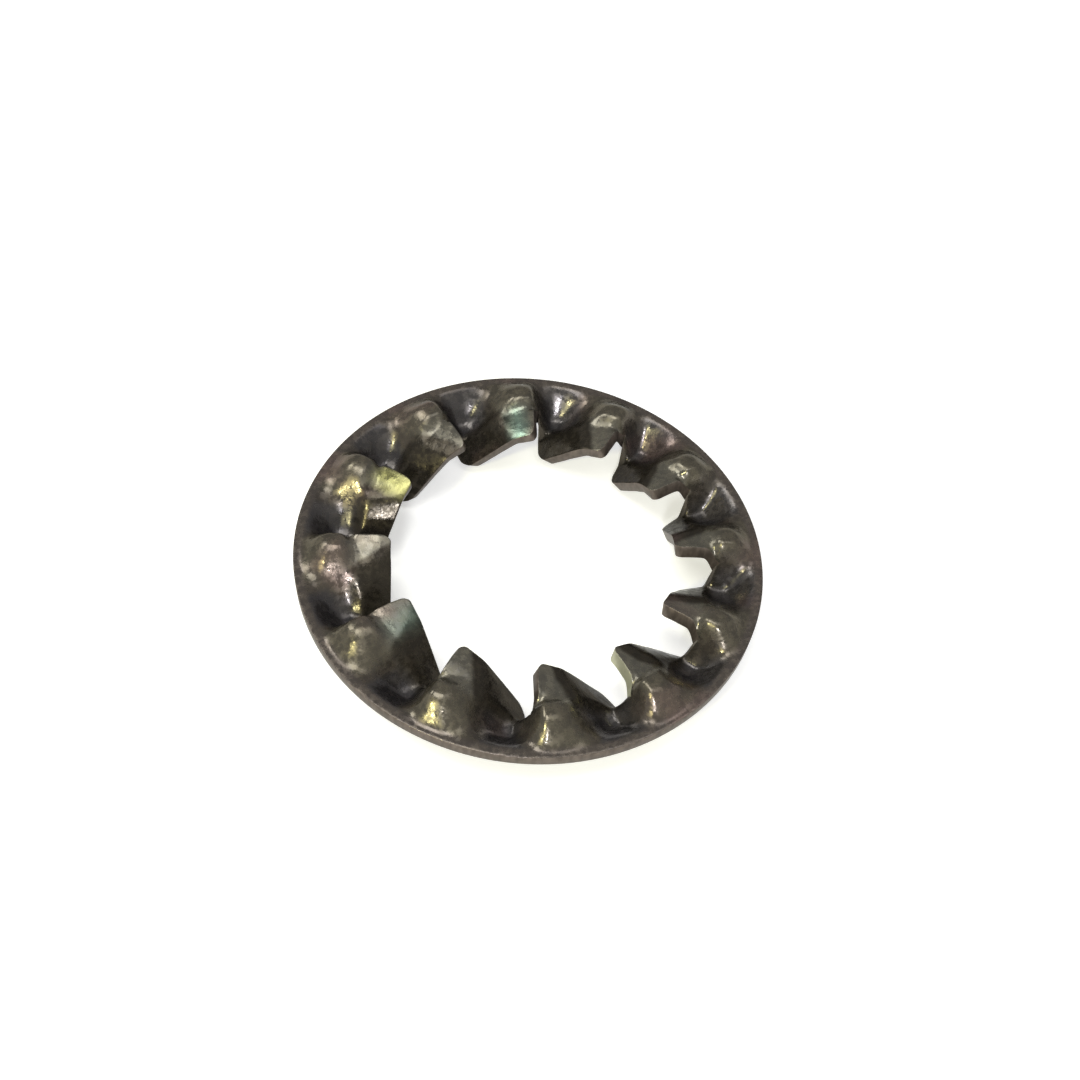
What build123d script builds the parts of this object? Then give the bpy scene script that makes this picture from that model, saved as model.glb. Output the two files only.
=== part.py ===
from build123d import *
from math import asin, cos, hypot, pi, radians, sin, sqrt, tan
import os

# A lock washer with internal teeth, blanked from spring steel strip. Its axis is Z, the flat outer land
# is centred on the plane Z = 0, and the first tooth points from +X towards the axis. Sizes are in mm
# and degrees.

# Blank
outer_diameter = 16.0
tip_diameter = 10.0  # circle that the middles of the tooth tips reach
thickness = 0.45
tooth_count = 12
outer_edge_chamfer = 0.08

# Slots sheared between the teeth. Below 0 a width is an overlap in the flat blank, which the twist opens
slot_root_diameter = 13.0  # circle that the inner ends of the slots reach
slot_width_root = -0.1
slot_width_mouth = -0.35
slot_end_share = 0.43333  # share of a tooth's length in which its slots take up their width
raised_corner_radius = 0.25
lowered_corner_radius = 0.4
corner_limit = 0.5  # of a blade's length, where short teeth leave no room for these radii

# Forming: each tooth is twisted about its own centre line, and the rim outside it follows in a wave
root_twist = 28.5  # the edge that faces clockwise goes up, the other goes down
tip_twist = 36.0
fold_angle = 31.0  # change of slope across the soft fold that runs along a tooth
fold_softness = 0.2  # width over which it bends, in half widths of a tooth
fold_at_root = 0.05  # its place, from -1 at the raised edge to 1 at the lowered one
fold_at_tip = -0.45
tip_slant = 14.0  # turn of the tip about the vertical, raised corner inwards
tip_drop = 0.3  # of a tooth's centre line, from the land's height at the root
land_width = 0.2  # flat ring outside the wave
shoulder_diameter = 13.5  # the wave has its full height at this circle
wave_height = 0.8  # of the knobs over the wave's mean, and of the valleys below it
wave_drop = 0.15  # how far the wave's mean lies below the land
flank_share = 0.26  # share of a pitch in which the rim climbs from a valley to the next knob, past a slot
fall_share = 0.36  # share in which it falls from that knob to the next valley
fall_place = 0.5  # middle of that fall, in pitches from the slot
crease_share = 0.4  # how sharply the wave sets off from the land, from 0, smooth, to 1, a crease
draw_share = 0.4  # how much the sheet thins where the rim is drawn steep
blend_length = 0.65  # length of a tooth's root that turns from the wave into the twisted blade

outer_radius = outer_diameter / 2
land_radius = outer_radius - land_width
shoulder_radius = shoulder_diameter / 2
root_radius = slot_root_diameter / 2
tip_radius = tip_diameter / 2
tooth_length = root_radius - tip_radius
slot_end_depth = slot_end_share * tooth_length
half_pitch = pi / tooth_count

# Every cross-section has its upper and lower line as a cubic B-spline on the same knots
degree = 3
breaks = [0.0, 0.1, 0.3, 0.5, 0.7, 0.9, 1.0]  # closer together beside the slots, where the rim is steepest
knots = [0.0] * degree + breaks + [1.0] * degree
across = [2 * sum(knots[i + 1 : i + 1 + degree]) / degree - 1 for i in range(len(breaks) - 1 + degree)]


def ease(share):
    """A smooth step from 0 to 1."""
    share = min(max(share, 0.0), 1.0)
    return share * share * (3 - 2 * share)


def wave(radius, angle):
    """Height of the rim's middle surface."""
    share = min(max((land_radius - radius) / (land_radius - shoulder_radius), 0.0), 1.0)
    rise = ease(share) * (1 - crease_share) + (1 - (1 - share) ** 2) * crease_share
    turn = (angle / (2 * half_pitch) + 0.5) % 1
    climb = ease(turn / flank_share + 0.5) - ease((1 - turn) / flank_share + 0.5)
    fall = ease((turn - fall_place) / fall_share + 0.5)
    return rise * (wave_height * (2 * (climb - fall) + 1) - wave_drop)


def half_width(radius):
    """Half the width of the flat blank: the full pitch in the rim, and less in a tooth."""
    width = radius * sin(half_pitch)
    inward = root_radius - radius
    if inward <= 0:
        return width
    slot = slot_width_root + (slot_width_mouth - slot_width_root) * inward / tooth_length
    return width - slot / 2 * ease(inward / slot_end_depth)


def rim(radius, side):
    """Point of the wavy rim's middle surface, with side from -1, under a tooth's raised edge, to 1."""
    angle = asin(half_width(radius) / radius) * side
    return Vector(radius * cos(angle), radius * sin(angle), wave(radius, angle))


def blade(radius, side):
    """Point of a twisted tooth's middle surface, with side from -1, its raised edge, to 1."""
    reach = (root_radius - radius) / tooth_length
    across_tooth = half_width(radius) * side
    full_width = radius * sin(half_pitch)
    slope = radians(root_twist + (tip_twist - root_twist) * reach)
    slant = radians(tip_slant) * ease(reach)
    fold_place = fold_at_root + (fold_at_tip - fold_at_root) * reach
    fold = hypot(across_tooth / full_width - fold_place, fold_softness) - hypot(fold_place, fold_softness)
    fold_drop = fold * full_width * tan(radians(fold_angle / 2))
    flat = across_tooth * cos(slope)
    height = -tip_drop * reach**2 - across_tooth * sin(slope) - fold_drop
    return Vector(radius + flat * sin(slant), flat * cos(slant), height)


def normal(surface, radius, side):
    """Upward direction square to a surface."""
    step = 0.001
    outward = surface(radius + step, side) - surface(radius, side)
    sideways = surface(radius, side + step) - surface(radius, side - step)
    return outward.cross(sideways).normalized()


def sheet_point(radius, side, face):
    """Point of the sheet's upper surface, with face 1, or its lower one, with face -1."""
    steepness = normal(rim, radius, side).Z
    stretch = sqrt((1 + draw_share) / (steepness**2 + draw_share))
    rim_point = rim(radius, side) + Vector(0, 0, stretch) * (face * thickness / 2)
    if radius >= root_radius:
        return rim_point
    blade_point = blade(radius, side) + normal(blade, radius, side) * (face * thickness / 2)
    blend = ease((root_radius - radius) / blend_length)
    return rim_point * (1 - blend) + blade_point * blend


def surface_lines(radius):
    """Upper and lower line of the sheet's cross-section at a radius."""
    with BuildLine():
        upper = BSpline([sheet_point(radius, side, 1) for side in across], knots, degree)
        lower = BSpline([sheet_point(radius, side, -1) for side in across], knots, degree)
    return upper, lower


def sheet_skin(radii):
    """Faces of the formed sheet through its cross-sections, open at both ends."""
    outlines = []
    for radius in radii:
        upper, lower = surface_lines(radius)
        with BuildLine() as outline:
            add([upper, lower])
            Line(upper @ 0, lower @ 0)
            Line(upper @ 1, lower @ 1)
        outlines.append(outline.wire())
    return Shell.make_loft(outlines).faces()


def spread(start, end, steps):
    """Evenly spaced radii from start to end."""
    return [start + (end - start) * i / steps for i in range(steps + 1)]


rim_radii = spread(land_radius, root_radius, 5)
neck_radius = root_radius - slot_end_depth
neck_radii = spread(root_radius, neck_radius, 2)
blade_radii = spread(neck_radius, tip_radius, 2)
largest_corner_radius = corner_limit * (neck_radius - tip_radius)

# One pitch of the washer: a sector of the land, a stretch of the wavy rim and a tooth
with BuildPart() as land:
    with BuildSketch(Plane.XY.offset(-thickness / 2)):
        with BuildLine():
            inner = BSpline([rim(land_radius, side) for side in across], knots, degree)
            outer = CenterArc((0, 0), outer_radius, -180 / tooth_count, 360 / tooth_count)
            Line(inner @ 0, outer @ 0)
            Line(inner @ 1, outer @ 1)
        make_face()
    extrude(amount=thickness)
    chamfer(land.edges().filter_by(GeomType.CIRCLE), outer_edge_chamfer)

skin = land.faces().filter_by(Axis.Z)
skin += land.faces().filter_by(GeomType.CYLINDER)
skin += land.faces().filter_by(GeomType.CONE)
skin += sheet_skin(rim_radii).sort_by(SortBy.AREA)[-2:]  # not the two sides, where pitches meet
for radii in (neck_radii, blade_radii):
    skin += sheet_skin(radii)
skin.append(Face.make_surface_from_curves(*surface_lines(tip_radius)))

# The whole washer: the skin of that pitch, turned about the axis once for each tooth and sewn together
whole_skin = [face.rotate(Axis.Z, 360 / tooth_count * i) for face in skin for i in range(tooth_count)]
with BuildPart() as lock_washer:
    add(Solid(Shell(whole_skin)))
    # The tip faces are the formed faces nearest to the axis, and their two short edges are the corners
    formed_faces = lock_washer.faces().filter_by(GeomType.BSPLINE)
    tips = formed_faces.sort_by(lambda face: hypot(face.center().X, face.center().Y))[:tooth_count]
    corners = [edge for tip in tips for edge in tip.edges().sort_by(SortBy.LENGTH)[:2]]
    raised_corners = [edge for edge in corners if edge.center().Z > 0]
    lowered_corners = [edge for edge in corners if edge.center().Z < 0]
    fillet(raised_corners, min(raised_corner_radius, largest_corner_radius))
    fillet(lowered_corners, min(lowered_corner_radius, largest_corner_radius))

lock_washer.part.label = "lock_washer"
os.makedirs("parts", exist_ok=True)
export_step(lock_washer.part, "parts/lock_washer.step")
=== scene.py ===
import math

import bmesh
import bpy
from mathutils import Matrix, Vector, noise


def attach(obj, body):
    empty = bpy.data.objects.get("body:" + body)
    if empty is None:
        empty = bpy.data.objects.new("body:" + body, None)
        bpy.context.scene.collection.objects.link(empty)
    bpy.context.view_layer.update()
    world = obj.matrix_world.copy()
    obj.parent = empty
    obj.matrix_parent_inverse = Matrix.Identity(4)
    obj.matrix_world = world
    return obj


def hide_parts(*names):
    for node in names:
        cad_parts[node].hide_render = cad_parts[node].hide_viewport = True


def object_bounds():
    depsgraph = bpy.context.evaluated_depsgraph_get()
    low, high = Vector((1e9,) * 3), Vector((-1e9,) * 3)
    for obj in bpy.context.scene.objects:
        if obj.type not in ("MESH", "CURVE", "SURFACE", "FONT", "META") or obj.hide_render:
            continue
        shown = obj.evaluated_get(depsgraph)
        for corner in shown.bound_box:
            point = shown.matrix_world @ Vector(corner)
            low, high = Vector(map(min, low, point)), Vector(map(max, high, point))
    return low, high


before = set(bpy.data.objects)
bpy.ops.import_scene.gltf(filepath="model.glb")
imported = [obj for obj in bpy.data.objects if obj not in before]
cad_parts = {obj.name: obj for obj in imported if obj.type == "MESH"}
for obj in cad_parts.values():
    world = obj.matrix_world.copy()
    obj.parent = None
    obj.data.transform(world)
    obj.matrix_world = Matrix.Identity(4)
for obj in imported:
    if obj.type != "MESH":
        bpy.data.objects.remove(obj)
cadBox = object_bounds()
mm = 0.001
print("packed washer loaded")


washer = {
    "outerRadius": 8.0,  # lengths in mm and angles in degrees throughout
    "tipRadius": 5.0,
    "thickness": 0.45,
    "teeth": 12,
    "landWidth": 0.2,  # flat ring outside the wave
    "shoulderRadius": 6.75,  # the wave has its full height here
    "waveHeight": 0.8,
    "waveDrop": 0.15,  # how far the wave's mean lies below the land
    "flankShare": 0.3,  # of a pitch, climbing past the slot
    "fallShare": 0.6,  # of a pitch, falling from the knob to the valley
    "fallPlace": 0.5,  # middle of that fall, in pitches from the slot
    "creaseShare": 0.25,  # from 0, the wave leaves the land smoothly, to 1, with a crease
    "drawShare": 0.4,  # how much the sheet thins where the rim is steep
    "slotRootRadius": 6.5,
    "slotWidthRoot": -0.1,  # below 0 the flat blank overlaps, and the twist opens the slot
    "slotWidthMouth": -0.35,
    "slotEndDepth": 0.65,
    "raisedCorner": 0.25,
    "loweredCorner": 0.4,
    "rootTwist": 28.5,
    "tipTwist": 36.0,
    "foldAngle": 31.0,
    "foldSoftness": 0.1,
    "foldRoot": 0.05,  # place of the fold, from -1 at the raised edge to 1 at the lowered one
    "foldTip": -0.45,
    "tipSlant": 14.0,
    "tipDrop": 0.3,
    "blendLength": 0.65,  # of a tooth's root, from the wave into the twisted blade
    "columns": 40,  # mesh cells across one pitch
    "rimRows": 16,
    "toothRows": 22,
    "edgeRounding": 0.035,
    "edgeSegments": 2,
    "edgeAngle": 50.0,  # sharper edges than this are rounded
    "ripple": 0.024,  # unevenness left by the forming tool
    "rippleSize": 0.55,
    "rippleFine": 0.35,  # share of a finer ripple on top, this many times smaller
    "rippleFiner": 2.3,
    "rippleMargin": 0.15,  # the land's rim stays flat, and the ripple fades in from there
    "rippleFade": 0.5,
}


def ease(share):
    share = min(max(share, 0.0), 1.0)
    return share * share * (3 - 2 * share)


def waveAt(radius, angle):
    w = washer
    landRadius = w["outerRadius"] - w["landWidth"]
    share = min(max((landRadius - radius) / (landRadius - w["shoulderRadius"]), 0.0), 1.0)
    rise = ease(share) * (1 - w["creaseShare"]) + (1 - (1 - share) ** 2) * w["creaseShare"]
    turn = (angle * w["teeth"] / (2 * math.pi) + 0.5) % 1
    climb = ease(turn / w["flankShare"] + 0.5) - ease((1 - turn) / w["flankShare"] + 0.5)
    fall = ease((turn - w["fallPlace"]) / w["fallShare"] + 0.5)
    profile = 2 * (climb - fall) + 1
    return rise * (w["waveHeight"] * profile - w["waveDrop"])


def fullWidth(radius):
    return radius * math.sin(math.pi / washer["teeth"])


# half width of the flat blank: the full pitch in the rim, and less in a tooth
def bladeEdge(radius):
    w = washer
    inward = w["slotRootRadius"] - radius
    if inward <= 0:
        return fullWidth(radius)
    toothLength = w["slotRootRadius"] - w["tipRadius"]
    slot = w["slotWidthRoot"] + (w["slotWidthMouth"] - w["slotWidthRoot"]) * inward / toothLength
    return fullWidth(radius) - slot / 2 * ease(inward / w["slotEndDepth"])


# radius and distance from the tooth's middle, with the square mesh at a tip's corner
# drawn in to a quarter circle
def roundCorner(radius, side):
    w = washer
    edge = bladeEdge(radius)
    corner = w["raisedCorner"] if side < 0 else w["loweredCorner"]
    sideways = (abs(side) * edge - edge) / corner + 1
    inwards = 1 - (radius - w["tipRadius"]) / corner
    if sideways > 0 and inwards > 0:
        drawnIn = sideways * math.sqrt(1 - inwards**2 / 2)
        radius = w["tipRadius"] + corner * (1 - inwards * math.sqrt(1 - sideways**2 / 2))
        return radius, math.copysign(edge - corner * (1 - drawnIn), side)
    return radius, side * edge


def rimPoint(radius, across):
    angle = math.asin(across / radius)
    return Vector((radius * math.cos(angle), radius * math.sin(angle), waveAt(radius, angle)))


def bladePoint(radius, across):
    w = washer
    reach = (w["slotRootRadius"] - radius) / (w["slotRootRadius"] - w["tipRadius"])
    slope = math.radians(w["rootTwist"] + (w["tipTwist"] - w["rootTwist"]) * reach)
    slant = math.radians(w["tipSlant"]) * ease(reach)
    foldLine = w["foldRoot"] + (w["foldTip"] - w["foldRoot"]) * reach
    share = across / fullWidth(radius)
    fold = math.hypot(share - foldLine, w["foldSoftness"]) - math.hypot(foldLine, w["foldSoftness"])
    fold *= math.tan(math.radians(w["foldAngle"] / 2)) * fullWidth(radius)
    flat = across * math.cos(slope)
    height = -w["tipDrop"] * reach**2 - across * math.sin(slope) - fold
    return Vector((radius + flat * math.sin(slant), flat * math.cos(slant), height))


def upward(surface, radius, across):
    step = 0.001
    outward = surface(radius + step, across) - surface(radius - step, across)
    sideways = surface(radius, across + step) - surface(radius, across - step)
    return outward.cross(sideways).normalized()


# side runs from -1, a tooth's raised edge, to 1; face is 1 for the upper surface and -1 for the lower
def sheetPoint(radius, side, face):
    w = washer
    half = face * w["thickness"] / 2
    radius, across = roundCorner(radius, side)
    if radius > w["outerRadius"] - w["landWidth"]:
        return rimPoint(radius, across) + Vector((0, 0, half))
    steepness = upward(rimPoint, radius, across).z
    stretch = math.sqrt((1 + w["drawShare"]) / (steepness**2 + w["drawShare"]))
    point = rimPoint(radius, across) + Vector((0, 0, stretch * half))
    if radius >= w["slotRootRadius"]:
        return point
    blade = bladePoint(radius, across) + upward(bladePoint, radius, across) * half
    return point.lerp(blade, ease((w["slotRootRadius"] - radius) / w["blendLength"]))


def rowsOfRadii():
    w = washer
    land, root, tip = w["outerRadius"] - w["landWidth"], w["slotRootRadius"], w["tipRadius"]
    rows = [w["outerRadius"], w["outerRadius"] - w["landWidth"] / 2]
    rows += [land + (root - land) * i / w["rimRows"] for i in range(w["rimRows"])]
    return rows + [root + (tip - root) * i / w["toothRows"] for i in range(w["toothRows"] + 1)]


def buildWasher():
    w = washer
    rows, columns = rowsOfRadii(), w["columns"]
    rootRow, tipRow = rows.index(w["slotRootRadius"]), len(rows) - 1
    pitchPoints = {}
    for face in (1, -1):
        for row, radius in enumerate(rows):
            for column in range(columns + 1):
                pitchPoints[face, row, column] = sheetPoint(radius, 2 * column / columns - 1, face)
    bm = bmesh.new()
    verts = {}
    for tooth in range(w["teeth"]):
        turn = Matrix.Rotation(2 * math.pi * tooth / w["teeth"], 3, "Z")
        for (face, row, column), point in pitchPoints.items():
            if row > rootRow or column < columns:  # in the rim, the last column is the next pitch's first
                verts[tooth, face, row, column] = bm.verts.new(turn @ point * mm)

    def addQuad(tooth, corners, isCut, flip):
        quad = []
        for face, row, column in corners:
            shared = row <= rootRow and column == columns
            key = ((tooth + 1) % w["teeth"], face, row, 0) if shared else (tooth, face, row, column)
            quad.append(verts[key])
        made = bm.faces.new(quad[::-1] if flip else quad)
        made.material_index = 1 if isCut else 0
        made.smooth = True

    for tooth in range(w["teeth"]):
        for face in (1, -1):
            for row in range(tipRow):
                for column in range(columns):
                    corners = [(face, row, column), (face, row, column + 1)]
                    corners += [(face, row + 1, column + 1), (face, row + 1, column)]
                    addQuad(tooth, corners, False, face == -1)
        for column in range(columns):
            for row, flip in ((0, True), (tipRow, False)):
                corners = [(1, row, column), (1, row, column + 1), (-1, row, column + 1), (-1, row, column)]
                addQuad(tooth, corners, True, flip)
        for row in range(rootRow, tipRow):
            for column, flip in ((0, False), (columns, True)):
                corners = [(1, row, column), (-1, row, column), (-1, row + 1, column), (1, row + 1, column)]
                addQuad(tooth, corners, True, flip)
    bmesh.ops.recalc_face_normals(bm, faces=bm.faces)
    mesh = bpy.data.meshes.new("formedWasher")
    bm.to_mesh(mesh)
    bm.free()
    piece = bpy.data.objects.new("formedWasher", mesh)
    bpy.context.scene.collection.objects.link(piece)
    return piece


def roundEdges(piece):
    bevel = piece.modifiers.new("edgeRounding", "BEVEL")
    bevel.width = washer["edgeRounding"] * mm
    bevel.segments = washer["edgeSegments"]
    bevel.limit_method = "ANGLE"
    bevel.angle_limit = math.radians(washer["edgeAngle"])
    depsgraph = bpy.context.evaluated_depsgraph_get()
    rounded = bpy.data.meshes.new_from_object(piece.evaluated_get(depsgraph))
    piece.modifiers.clear()
    piece.data = rounded


def ripple(piece):
    w = washer
    for vert in piece.data.vertices:
        # both faces of the sheet move together, so it keeps its thickness
        spot = Vector((vert.co.x, vert.co.y, 0)) / (w["rippleSize"] * mm)
        inside = ease((w["outerRadius"] - w["rippleMargin"] - vert.co.xy.length / mm) / w["rippleFade"])
        lump = noise.noise(spot) + w["rippleFine"] * noise.noise(spot * w["rippleFiner"])
        vert.co.z += lump * inside * w["ripple"] * mm
    piece.data.update()


body = buildWasher()
roundEdges(body)
ripple(body)
print("washer formed:", len(body.data.polygons), "faces")


def newMaterial(name):
    made = bpy.data.materials.new(name)
    made.use_nodes = True
    made.node_tree.nodes.clear()
    return made, made.node_tree


# values go to the node's sockets where it has one of that name, and otherwise to its settings
def addNode(tree, kind, place, **values):
    node = tree.nodes.new(kind)
    node.location = place
    for name, value in values.items():
        if name in node.inputs:
            node.inputs[name].default_value = value
        else:
            setattr(node, name, value)
    return node


# each value is a fixed one or another node's output
def feed(tree, sockets, values):
    for socket, value in zip(sockets, values):
        if isinstance(value, bpy.types.NodeSocket):
            tree.links.new(value, socket)
        else:
            socket.default_value = value


def addMath(tree, place, operation, *values):
    node = addNode(tree, "ShaderNodeMath", place, operation=operation)
    feed(tree, node.inputs, values)
    return node.outputs[0]


def addMix(tree, place, factor, first, second, blend="MIX"):
    node = addNode(tree, "ShaderNodeMix", place, data_type="RGBA", blend_type=blend)
    feed(tree, (node.inputs[0], node.inputs[6], node.inputs[7]), (factor, first, second))
    return node.outputs[2]


def addRamp(tree, place, value, stops):
    node = addNode(tree, "ShaderNodeValToRGB", place)
    node.color_ramp.interpolation = "EASE"
    elements = node.color_ramp.elements
    elements[0].position, elements[0].color = stops[0]
    elements[1].position, elements[1].color = stops[-1]
    for position, colour in stops[1:-1]:
        elements.new(position).color = colour
    tree.links.new(value, node.inputs[0])
    return node.outputs[0]


# goes smoothly from 0 to 1 as the value goes from start to end
def addStep(tree, place, value, start, end):
    edges = {"From Min": start, "From Max": end}
    node = addNode(tree, "ShaderNodeMapRange", place, interpolation_type="SMOOTHSTEP", **edges)
    tree.links.new(value, node.inputs["Value"])
    return node.outputs[0]


def addNoise(tree, place, where, scale, **values):
    node = addNode(tree, "ShaderNodeTexNoise", place, Scale=scale, **values)
    tree.links.new(where, node.inputs["Vector"])
    return node.outputs["Fac"]


clear, full = (0, 0, 0, 1), (1, 1, 1, 1)
borders = {"scale": 520.0, "ragged": 0.3}  # the borders between colours wander by up to this, in teeth


# place round the washer, counted in teeth, and distance from its axis
def addPlaces(tree, where):
    split = addNode(tree, "ShaderNodeSeparateXYZ", (-1700, 200))
    tree.links.new(where, split.inputs[0])
    x, y = split.outputs[0], split.outputs[1]
    angle = addMath(tree, (-1500, 300), "ARCTAN2", y, x)
    count = washer["teeth"]
    teeth = addMath(tree, (-1300, 300), "MULTIPLY_ADD", angle, count / (2 * math.pi), count + 0.5)
    wander = addNoise(tree, (-1700, -200), where, borders["scale"], Detail=4.0)
    ragged = addMath(tree, (-1500, 0), "MULTIPLY_ADD", wander, borders["ragged"], -borders["ragged"] / 2)
    teeth = addMath(tree, (-1100, 300), "ADD", teeth, ragged)
    squares = addMath(tree, (-1200, 100), "MULTIPLY_ADD", x, x, addMath(tree, (-1350, 60), "MULTIPLY", y, y))
    return teeth, addMath(tree, (-1100, 100), "SQRT", squares)


# painted reflections and a painted glint come and go round the washer: their places run from 0 to 1 over two
# turns of the teeth, and the first tooth starts at 0.5
def addTintPlace(tree, place, teeth):
    return addMath(tree, place, "MULTIPLY", teeth, 1 / (2 * washer["teeth"]))


blackenedSteel = {
    # the rim's colours are partly the steel's own tone and partly painted light and shade: painted light on
    # the knob, painted shade in the groove and the valley
    "knob": (0.118, 0.106, 0.084, 1),
    "groove": (0.092, 0.08, 0.068, 1),
    "valley": (0.08, 0.075, 0.076, 1),
    "flank": (0.098, 0.086, 0.074, 1),
    "rimPlaces": [  # where each shows, in a pitch
        (0.0, "flank"), (0.1, "knob"), (0.44, "knob"), (0.54, "groove"),
        (0.64, "valley"), (0.9, "valley"), (1.0, "flank"),
    ],
    "land": (0.12, 0.104, 0.093, 1),
    "landFrom": (7.6, 7.8),  # mm from the axis, where it begins and where it is full
    # the blade's own colour; beyond the fold, on the lowered side, a darker copy of it is painted shade
    "blade": (0.15, 0.141, 0.118, 1),
    "bladeFrom": (6.6, 6.1),  # likewise
    "bladeShadeBelow": (0.046, 0.04, 0.032, 1),  # painted shade beyond the fold, on the lowered side
    "foldShift": 0.1667,  # the fold's place in the pitch moves by this much for each mm of radius
    "foldAtAxis": -0.61,
    "foldBorder": 0.04,
    # painted reflections of lamps on a few blades: straw on one, mint on two others, one of these fainter
    "strawReflection": (0.24, 0.235, 0.1, 1),
    "strawReflectionPlaces": [(0.0, clear), (0.706, clear), (0.714, full), (0.719, full), (0.727, clear)],
    "mintReflection": (0.2, 0.28, 0.235, 1),
    "mintReflectionPlaces": [
        (0.0, clear), (0.296, clear), (0.303, (0.4, 0.4, 0.4, 1)), (0.311, clear),
        (0.629, clear), (0.636, full), (0.643, clear),
    ],
    "tintFrom": (6.4, 5.8),  # likewise, for both painted reflections
    "blush": (0.19, 0.135, 0.125, 1),
    "blushScale": 364.0,
    "blushStops": [(0.55, clear), (0.72, (0.45, 0.45, 0.45, 1))],
    "mottleScale": 2600.0,
    "mottleStops": [(0.3, (0.8, 0.8, 0.83, 1)), (0.7, (1.17, 1.15, 1.12, 1))],
    "metallic": 0.75,
    "edgeTint": (0.35, 0.35, 0.35, 1),  # keeps the shine at grazing angles down
    "glossScale": 5200.0,
    "glossFrom": (0.35, 0.65),
    "roughLow": 0.15,
    "roughHigh": 0.36,
    "peelScale": 3400.0,
    "peel": 0.35,
    "peelDepth": 0.02,  # mm
    "grainScale": 11000.0,
    "grain": 0.5,
    "grainDepth": 0.01,
}


def makeBlackenedSteel():
    look = blackenedSteel
    made, tree = newMaterial("blackenedSteel")
    link = tree.links.new
    out = addNode(tree, "ShaderNodeOutputMaterial", (900, 0))
    surface = {"Metallic": look["metallic"], "Specular Tint": look["edgeTint"]}
    shader = addNode(tree, "ShaderNodeBsdfPrincipled", (600, 0), **surface)
    link(shader.outputs[0], out.inputs[0])
    where = addNode(tree, "ShaderNodeTexCoord", (-1900, 0)).outputs["Object"]
    teeth, radius = addPlaces(tree, where)

    def beyond(place, name):
        start, end = look[name]
        return addStep(tree, place, radius, start * mm, end * mm)

    pitch = addMath(tree, (-900, 300), "FRACT", teeth)
    # round each pitch: painted light on the knob, painted shade in the groove and the valley
    rim = addRamp(tree, (-700, 300), pitch, [(place, look[name]) for place, name in look["rimPlaces"]])
    # the fold runs slantwise along a blade, so its place in the pitch shifts with the radius
    foldSlope = look["foldShift"] / mm
    fold = addMath(tree, (-900, 450), "MULTIPLY_ADD", radius, foldSlope, look["foldAtAxis"])
    # past the fold, on the lowered side, the blade takes its painted shade
    pastFold = addMath(tree, (-700, 500), "SUBTRACT", pitch, fold)
    below = addStep(tree, (-550, 500), pastFold, -look["foldBorder"], look["foldBorder"])
    blade = addMix(tree, (-350, 450), below, look["blade"], look["bladeShadeBelow"])
    colour = addMix(tree, (-600, 250), beyond((-900, 600), "landFrom"), rim, look["land"])
    colour = addMix(tree, (-450, 200), beyond((-900, 100), "bladeFrom"), colour, blade)

    tintPlace = addTintPlace(tree, (-900, -50), teeth)
    nearTip = beyond((-900, 0), "tintFrom")
    # painted reflections near the tips: straw on one blade and mint on two
    for across, down, name in ((-250, -50, "strawReflection"), (-50, -300, "mintReflection")):
        tint = addRamp(tree, (-700, down), tintPlace, look[name + "Places"])
        amount = addMath(tree, (across - 200, -50), "MULTIPLY", tint, nearTip)
        colour = addMix(tree, (across, 150), amount, colour, look[name])
    patches = addNoise(tree, (-450, -300), where, look["blushScale"], Detail=2.0)
    blushed = addRamp(tree, (-250, -300), patches, look["blushStops"])
    colour = addMix(tree, (50, 100), blushed, colour, look["blush"])
    mottle = addNoise(tree, (-450, -500), where, look["mottleScale"], Detail=4.0, Roughness=0.7)
    shade = addRamp(tree, (-250, -500), mottle, look["mottleStops"])
    link(addMix(tree, (150, 100), 1.0, colour, shade, "MULTIPLY"), shader.inputs["Base Color"])

    specks = addNoise(tree, (-450, -200), where, look["glossScale"], Detail=2.0)
    low, high = look["glossFrom"]
    spread = {"From Min": low, "From Max": high, "To Min": look["roughLow"], "To Max": look["roughHigh"]}
    gloss = addNode(tree, "ShaderNodeMapRange", (-250, -250), **spread)
    link(specks, gloss.inputs["Value"])
    link(gloss.outputs[0], shader.inputs["Roughness"])

    peel = addNoise(tree, (-250, -750), where, look["peelScale"], Detail=2.0)
    grain = addNoise(tree, (-250, -950), where, look["grainScale"], Detail=2.0)
    peelDepth, grainDepth = look["peelDepth"] * mm, look["grainDepth"] * mm
    peelBump = addNode(tree, "ShaderNodeBump", (50, -750), Strength=look["peel"], Distance=peelDepth)
    grainBump = addNode(tree, "ShaderNodeBump", (250, -650), Strength=look["grain"], Distance=grainDepth)
    link(peel, peelBump.inputs["Height"])
    link(grain, grainBump.inputs["Height"])
    link(peelBump.outputs["Normal"], grainBump.inputs["Normal"])
    link(grainBump.outputs["Normal"], shader.inputs["Normal"])
    return made


punchedEdge = {
    "metallic": 0.6,
    "roughness": 0.34,
    "edgeTint": (0.35, 0.35, 0.35, 1),
    "grainScale": 6000.0,
    "grainStretch": (1, 1, 0.3),  # drawn out through the sheet's thickness
    "grainStops": [(0.3, (0.085, 0.07, 0.06, 1)), (0.7, (0.14, 0.115, 0.1, 1))],
    "grain": 0.5,
    "grainDepth": 0.02,  # mm
    "paintedGlint": (0.5, 0.5, 0.38, 1),  # painted glint on the cut side of one tooth
    "paintedGlintPlaces": [(0.0, clear), (0.408, clear), (0.4135, full), (0.42, full), (0.425, clear)],
    "paintedGlintWithin": 7.0,  # mm from the axis, so that the outer edge has none
}


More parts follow.
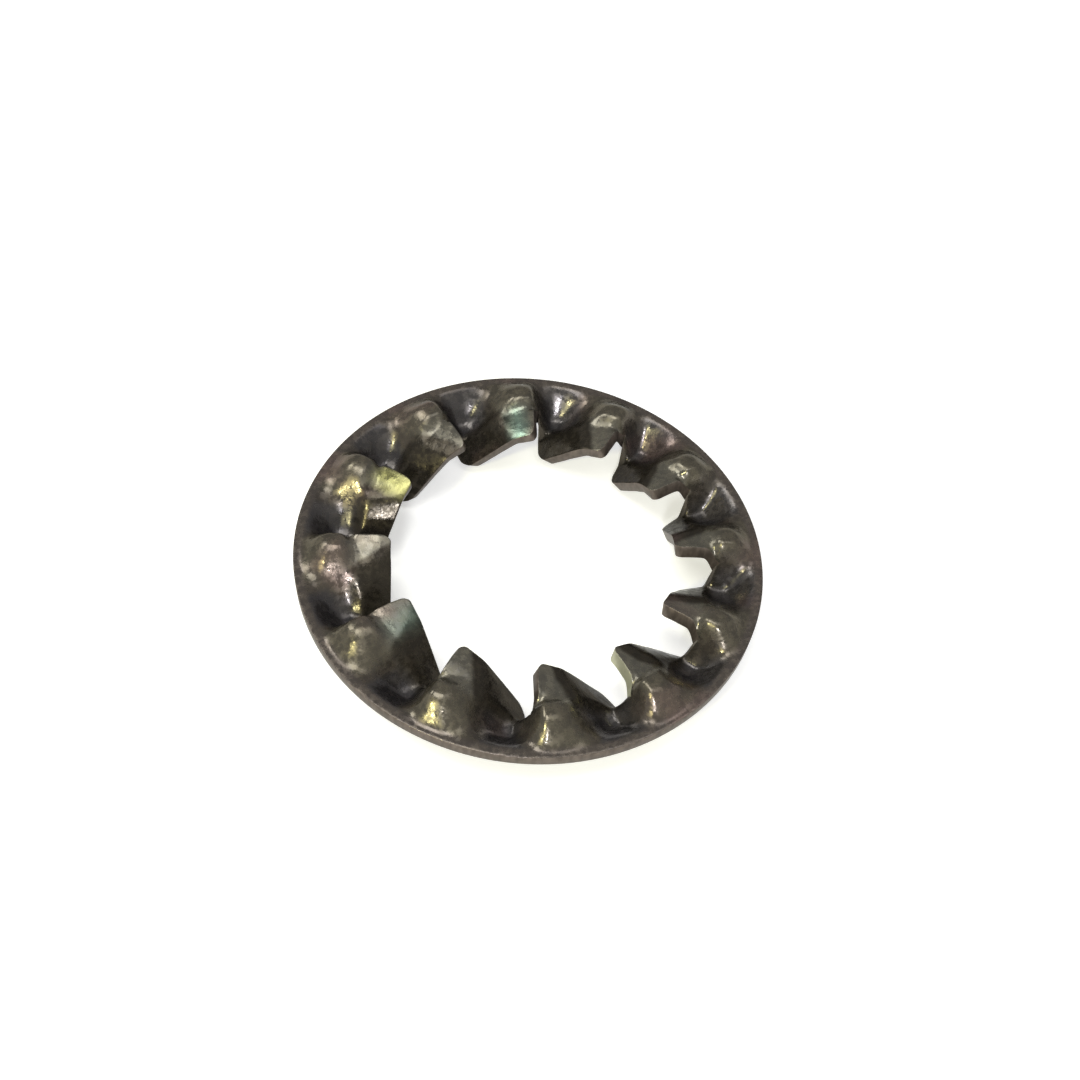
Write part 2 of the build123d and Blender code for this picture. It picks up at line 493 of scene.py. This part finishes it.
def makePunchedEdge():
    look = punchedEdge
    made, tree = newMaterial("punchedEdge")
    link = tree.links.new
    out = addNode(tree, "ShaderNodeOutputMaterial", (900, 0))
    surface = {"Metallic": look["metallic"], "Roughness": look["roughness"]}
    surface["Specular Tint"] = look["edgeTint"]
    shader = addNode(tree, "ShaderNodeBsdfPrincipled", (600, 0), **surface)
    link(shader.outputs[0], out.inputs[0])
    where = addNode(tree, "ShaderNodeTexCoord", (-1900, 0)).outputs["Object"]
    teeth, radius = addPlaces(tree, where)
    stretch = addNode(tree, "ShaderNodeMapping", (-700, 0), Scale=look["grainStretch"])
    link(where, stretch.inputs["Vector"])
    grain = addNoise(tree, (-500, 0), stretch.outputs["Vector"], look["grainScale"], Detail=3.0)
    steel = addRamp(tree, (-250, 100), grain, look["grainStops"])
    # a painted glint on one tooth's cut side, kept inside the hole
    paintedGlint = addRamp(tree, (-450, 300), addTintPlace(tree, (-650, 300), teeth), look["paintedGlintPlaces"])
    inHole = addMath(tree, (-450, 500), "LESS_THAN", radius, look["paintedGlintWithin"] * mm)
    amount = addMath(tree, (-150, 400), "MULTIPLY", paintedGlint, inHole)
    link(addMix(tree, (100, 200), amount, steel, look["paintedGlint"]), shader.inputs["Base Color"])
    depth = look["grainDepth"] * mm
    bump = addNode(tree, "ShaderNodeBump", (-250, -200), Strength=look["grain"], Distance=depth)
    link(grain, bump.inputs["Height"])
    link(bump.outputs["Normal"], shader.inputs["Normal"])
    return made


body.data.materials.append(makeBlackenedSteel())
body.data.materials.append(makePunchedEdge())
print("finishes made")

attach(body, "root")
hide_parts("lock_washer")


shot = {
    "turn": 18.9977,  # degrees
    "elevation": 53.2843,
    "roll": 7.1627,
    "distance": 42.162,  # mm
    "pan": -6.1207,
    "tilt": 4.7467,
    "focal": 40.41,  # mm, on a sensor this wide
    "sensor": 36,
    "shift": (-0.10311, 0.12009),
    "clip": (0.002, 10),  # metres
}


# the way from the washer to a point, by compass from +Y and by height over the floor, in degrees
def wayTo(around, height):
    around, height = math.radians(around), math.radians(height)
    flat = math.cos(height)
    return Vector((math.sin(around) * flat, math.cos(around) * flat, math.sin(height)))


def turnPair(first, second, degrees):
    cos, sin = math.cos(math.radians(degrees)), math.sin(math.radians(degrees))
    return first * cos + second * sin, second * cos - first * sin


def addCamera():
    toCamera = wayTo(shot["turn"] + 180, shot["elevation"])
    ahead = -toCamera
    right = Vector((math.cos(math.radians(shot["turn"])), -math.sin(math.radians(shot["turn"])), 0))
    up = right.cross(ahead)
    right, ahead = turnPair(right, ahead, shot["pan"])
    up, ahead = turnPair(up, ahead, shot["tilt"])
    right, up = turnPair(right, up, shot["roll"])
    data = bpy.data.cameras.new("camera")
    data.lens, data.sensor_width = shot["focal"], shot["sensor"]
    data.shift_x, data.shift_y = shot["shift"]
    data.clip_start, data.clip_end = shot["clip"]
    camera = bpy.data.objects.new("camera", data)
    bpy.context.scene.collection.objects.link(camera)
    turned = Matrix((right, up, -ahead)).transposed().to_4x4()
    camera.matrix_world = Matrix.Translation(toCamera * shot["distance"] * mm) @ turned
    bpy.context.scene.camera = camera


floorLook = {
    "colour": (0.82, 0.82, 0.82, 1),
    "glow": 0.42,
    "size": 3.0,  # metres
    "gap": 0.01,  # mm under the lowest point
}


def buildFloor():
    height = min(cadBox[0].z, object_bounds()[0].z) - floorLook["gap"] * mm
    bpy.ops.mesh.primitive_plane_add(size=floorLook["size"], location=(0, 0, height))
    floor = bpy.context.object
    floor.name = "paleFloor"
    made, tree = newMaterial("palePaper")
    link = tree.links.new
    out = addNode(tree, "ShaderNodeOutputMaterial", (600, 0))
    paper = addNode(tree, "ShaderNodeBsdfDiffuse", (0, 0), Color=floorLook["colour"])
    glow = addNode(tree, "ShaderNodeEmission", (0, -200))
    total = addNode(tree, "ShaderNodeAddShader", (300, 0))
    # the glow is seen and reflected, and lights nothing
    rays = addNode(tree, "ShaderNodeLightPath", (-900, -200)).outputs
    seen = addMath(tree, (-600, -200), "MAXIMUM", rays["Is Camera Ray"], rays["Is Glossy Ray"])
    seen = addMath(tree, (-400, -200), "MAXIMUM", seen, rays["Is Transmission Ray"])
    link(addMath(tree, (-200, -200), "MULTIPLY", seen, floorLook["glow"]), glow.inputs["Strength"])
    link(paper.outputs[0], total.inputs[0])
    link(glow.outputs[0], total.inputs[1])
    link(total.outputs[0], out.inputs[0])
    floor.data.materials.append(made)


sky = {
    "near": (0.6, 0.6, 0.56, 1),  # behind the camera
    "far": (0.36, 0.36, 0.36, 1),
    "edges": (0.6, -0.8),  # of the change between them, from 1, far, to -1, near
}


def buildSky():
    world = bpy.data.worlds.new("paleRoom")
    world.use_nodes = True
    tree = world.node_tree
    where = addNode(tree, "ShaderNodeTexCoord", (-900, 0)).outputs["Generated"]
    turned = addNode(tree, "ShaderNodeMapping", (-700, 0), vector_type="VECTOR")
    turned.inputs["Rotation"].default_value = (0, 0, math.radians(shot["turn"]))
    split = addNode(tree, "ShaderNodeSeparateXYZ", (-500, 0))
    tree.links.new(where, turned.inputs["Vector"])
    tree.links.new(turned.outputs["Vector"], split.inputs[0])
    nearness = addStep(tree, (-300, 0), split.outputs["Y"], *sky["edges"])
    colour = addMix(tree, (-100, 0), nearness, sky["far"], sky["near"])
    tree.links.new(colour, tree.nodes["Background"].inputs["Color"])
    bpy.context.scene.world = world


lampDistance = 260.0  # mm
lamps = {
    # around: degrees clockwise from straight behind the washer, seen from above; size in mm
    "topBox": {"around": -114, "height": 76, "size": 140, "radiance": 5.4, "colour": (1, 1, 0.94)},
    "rightBox": {"around": 80, "height": 70, "size": 120, "radiance": 1.6, "colour": (1, 1, 0.98)},
    "leftBox": {"around": -73, "height": 44, "size": 108, "radiance": 6.0, "colour": (1, 1, 0.92)},
    "whiteLamp": {"around": -178, "height": 31, "size": 30, "radiance": 120, "colour": (0.97, 0.98, 1)},
    "yellowLamp": {"around": -146, "height": 36, "size": 30, "radiance": 105, "colour": (1, 0.96, 0.5)},
}


def addLamps():
    for name, look in lamps.items():
        data = bpy.data.lights.new(name, "AREA")
        data.shape = "DISK"
        data.size = look["size"] * mm
        data.energy = look["radiance"] * math.pi * (data.size / 2) ** 2 * math.pi
        data.color = look["colour"]
        lamp = bpy.data.objects.new(name, data)
        bpy.context.scene.collection.objects.link(lamp)
        way = wayTo(look["around"] + shot["turn"], look["height"])
        lamp.location = way * lampDistance * mm
        lamp.rotation_euler = way.to_track_quat("Z", "Y").to_euler()


buildFloor()
buildSky()
addLamps()
addCamera()
bpy.context.scene.view_settings.view_transform = "Standard"
print("stage, lamps and camera set")
